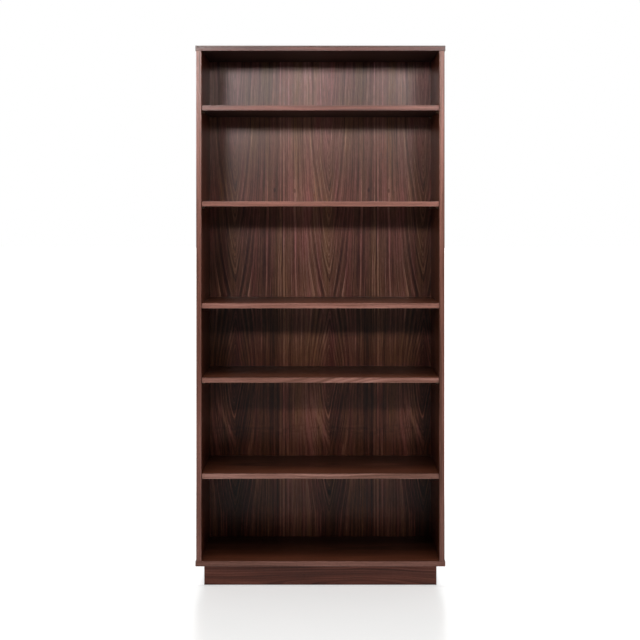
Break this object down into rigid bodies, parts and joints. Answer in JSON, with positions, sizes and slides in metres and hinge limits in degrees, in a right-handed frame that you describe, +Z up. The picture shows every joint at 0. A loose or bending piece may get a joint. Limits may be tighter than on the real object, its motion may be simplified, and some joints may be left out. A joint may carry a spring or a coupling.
{
  "type": "bookcase with adjustable shelves",
  "caption": "Tall open bookcase: a veneered case on a recessed plinth, with a fixed centre shelf and adjustable shelves resting on pins in rows of holes.",
  "frame": {"origin": "on the floor, under the middle of the case's width and depth", "axes": "+Z up; the open front faces -Y; +X is the right-hand side seen from the front"},
  "size_m": [0.9144, 0.356, 1.981],
  "materials": {
    "walnut_veneer": "satin lacquer",
    "walnut_back_veneer": "satin lacquer",
    "walnut_lipping": "satin lacquer",
    "plywood": "sanded",
    "beech": "sanded",
    "bronzed_steel": "bronzed",
    "zinc_plated_steel": "plated"
  },
  "bodies": {
    "case": {"back_panel": "walnut_back_veneer", "bottom_lipping": "walnut_lipping", "bottom_panel": "walnut_veneer", "corner_block_left_front": "beech", "corner_block_left_rear": "beech", "corner_block_right_front": "beech", "corner_block_right_rear": "beech", "dowel_bottom_left_front": "beech", "dowel_bottom_left_rear": "beech", "dowel_bottom_right_front": "beech", "dowel_bottom_right_rear": "beech", "dowel_shelf_left_front": "beech", "dowel_shelf_left_rear": "beech", "dowel_shelf_right_front": "beech", "dowel_shelf_right_rear": "beech", "dowel_top_left_front": "beech", "dowel_top_left_rear": "beech", "dowel_top_right_front": "beech", "dowel_top_right_rear": "beech", "fixed_shelf": "walnut_veneer", "fixed_shelf_lipping": "walnut_lipping", "plinth_front": "walnut_veneer", "plinth_left": "walnut_veneer", "plinth_rear": "walnut_veneer", "plinth_right": "walnut_veneer", "plinth_stretcher": "plywood", "side_left": "walnut_veneer", "side_left_lipping": "walnut_lipping", "side_right": "walnut_veneer", "side_right_lipping": "walnut_lipping", "top_lipping": "walnut_lipping", "top_panel": "walnut_veneer"},
    "adjustable_shelf_1": {"adjustable_shelf_1": "walnut_veneer", "adjustable_shelf_1_lipping": "walnut_lipping"},
    "adjustable_shelf_2": {"adjustable_shelf_2": "walnut_veneer", "adjustable_shelf_2_lipping": "walnut_lipping"},
    "adjustable_shelf_3": {"adjustable_shelf_3": "walnut_veneer", "adjustable_shelf_3_lipping": "walnut_lipping"},
    "adjustable_shelf_4": {"adjustable_shelf_4": "walnut_veneer", "adjustable_shelf_4_lipping": "walnut_lipping"},
    "levelling_foot_left_front": {"levelling_foot_left_front": "zinc_plated_steel"},
    "levelling_foot_left_rear": {"levelling_foot_left_rear": "zinc_plated_steel"},
    "levelling_foot_right_front": {"levelling_foot_right_front": "zinc_plated_steel"},
    "levelling_foot_right_rear": {"levelling_foot_right_rear": "zinc_plated_steel"},
    "shelf_pin_1_left_front": {"shelf_pin_1_left_front": "bronzed_steel"},
    "shelf_pin_1_left_rear": {"shelf_pin_1_left_rear": "bronzed_steel"},
    "shelf_pin_1_right_front": {"shelf_pin_1_right_front": "bronzed_steel"},
    "shelf_pin_1_right_rear": {"shelf_pin_1_right_rear": "bronzed_steel"},
    "shelf_pin_2_left_front": {"shelf_pin_2_left_front": "bronzed_steel"},
    "shelf_pin_2_left_rear": {"shelf_pin_2_left_rear": "bronzed_steel"},
    "shelf_pin_2_right_front": {"shelf_pin_2_right_front": "bronzed_steel"},
    "shelf_pin_2_right_rear": {"shelf_pin_2_right_rear": "bronzed_steel"},
    "shelf_pin_3_left_front": {"shelf_pin_3_left_front": "bronzed_steel"},
    "shelf_pin_3_left_rear": {"shelf_pin_3_left_rear": "bronzed_steel"},
    "shelf_pin_3_right_front": {"shelf_pin_3_right_front": "bronzed_steel"},
    "shelf_pin_3_right_rear": {"shelf_pin_3_right_rear": "bronzed_steel"},
    "shelf_pin_4_left_front": {"shelf_pin_4_left_front": "bronzed_steel"},
    "shelf_pin_4_left_rear": {"shelf_pin_4_left_rear": "bronzed_steel"},
    "shelf_pin_4_right_front": {"shelf_pin_4_right_front": "bronzed_steel"},
    "shelf_pin_4_right_rear": {"shelf_pin_4_right_rear": "bronzed_steel"}
  },
  "joints": [
    {"name": "shelf_1_lift", "type": "slide", "parent": "case", "child": "adjustable_shelf_1", "axis": [0, 0, 1], "range_m": [0, 0.196]},
    {"name": "shelf_2_lift", "type": "slide", "parent": "case", "child": "adjustable_shelf_2", "axis": [0, 0, 1], "range_m": [0, 0.323]},
    {"name": "shelf_3_lift", "type": "slide", "parent": "case", "child": "adjustable_shelf_3", "axis": [0, 0, 1], "range_m": [0, 0.251]},
    {"name": "shelf_4_lift", "type": "slide", "parent": "case", "child": "adjustable_shelf_4", "axis": [0, 0, 1], "range_m": [0, 0.323]},
    {"name": "pin_1_left_front_pull", "type": "slide", "parent": "case", "child": "shelf_pin_1_left_front", "axis": [1, 0, 0], "range_m": [0, 0.009]},
    {"name": "pin_1_left_rear_pull", "type": "slide", "parent": "case", "child": "shelf_pin_1_left_rear", "axis": [1, 0, 0], "range_m": [0, 0.009]},
    {"name": "pin_1_right_front_pull", "type": "slide", "parent": "case", "child": "shelf_pin_1_right_front", "axis": [-1, 0, 0], "range_m": [0, 0.009]},
    {"name": "pin_1_right_rear_pull", "type": "slide", "parent": "case", "child": "shelf_pin_1_right_rear", "axis": [-1, 0, 0], "range_m": [0, 0.009]},
    {"name": "pin_2_left_front_pull", "type": "slide", "parent": "case", "child": "shelf_pin_2_left_front", "axis": [1, 0, 0], "range_m": [0, 0.009]},
    {"name": "pin_2_left_rear_pull", "type": "slide", "parent": "case", "child": "shelf_pin_2_left_rear", "axis": [1, 0, 0], "range_m": [0, 0.009]},
    {"name": "pin_2_right_front_pull", "type": "slide", "parent": "case", "child": "shelf_pin_2_right_front", "axis": [-1, 0, 0], "range_m": [0, 0.009]},
    {"name": "pin_2_right_rear_pull", "type": "slide", "parent": "case", "child": "shelf_pin_2_right_rear", "axis": [-1, 0, 0], "range_m": [0, 0.009]},
    {"name": "pin_3_left_front_pull", "type": "slide", "parent": "case", "child": "shelf_pin_3_left_front", "axis": [1, 0, 0], "range_m": [0, 0.009]},
    {"name": "pin_3_left_rear_pull", "type": "slide", "parent": "case", "child": "shelf_pin_3_left_rear", "axis": [1, 0, 0], "range_m": [0, 0.009]},
    {"name": "pin_3_right_front_pull", "type": "slide", "parent": "case", "child": "shelf_pin_3_right_front", "axis": [-1, 0, 0], "range_m": [0, 0.009]},
    {"name": "pin_3_right_rear_pull", "type": "slide", "parent": "case", "child": "shelf_pin_3_right_rear", "axis": [-1, 0, 0], "range_m": [0, 0.009]},
    {"name": "pin_4_left_front_pull", "type": "slide", "parent": "case", "child": "shelf_pin_4_left_front", "axis": [1, 0, 0], "range_m": [0, 0.009]},
    {"name": "pin_4_left_rear_pull", "type": "slide", "parent": "case", "child": "shelf_pin_4_left_rear", "axis": [1, 0, 0], "range_m": [0, 0.009]},
    {"name": "pin_4_right_front_pull", "type": "slide", "parent": "case", "child": "shelf_pin_4_right_front", "axis": [-1, 0, 0], "range_m": [0, 0.009]},
    {"name": "pin_4_right_rear_pull", "type": "slide", "parent": "case", "child": "shelf_pin_4_right_rear", "axis": [-1, 0, 0], "range_m": [0, 0.009]},
    {"name": "foot_left_front_turn", "type": "hinge", "parent": "case", "child": "levelling_foot_left_front", "pos_m": [-0.3837, -0.1093, 0.03], "axis": [0, 0, 1], "continuous": true},
    {"name": "foot_left_rear_turn", "type": "hinge", "parent": "case", "child": "levelling_foot_left_rear", "pos_m": [-0.3837, 0.1093, 0.03], "axis": [0, 0, 1], "continuous": true},
    {"name": "foot_right_front_turn", "type": "hinge", "parent": "case", "child": "levelling_foot_right_front", "pos_m": [0.3837, -0.1093, 0.03], "axis": [0, 0, 1], "continuous": true},
    {"name": "foot_right_rear_turn", "type": "hinge", "parent": "case", "child": "levelling_foot_right_rear", "pos_m": [0.3837, 0.1093, 0.03], "axis": [0, 0, 1], "continuous": true}
  ]
}
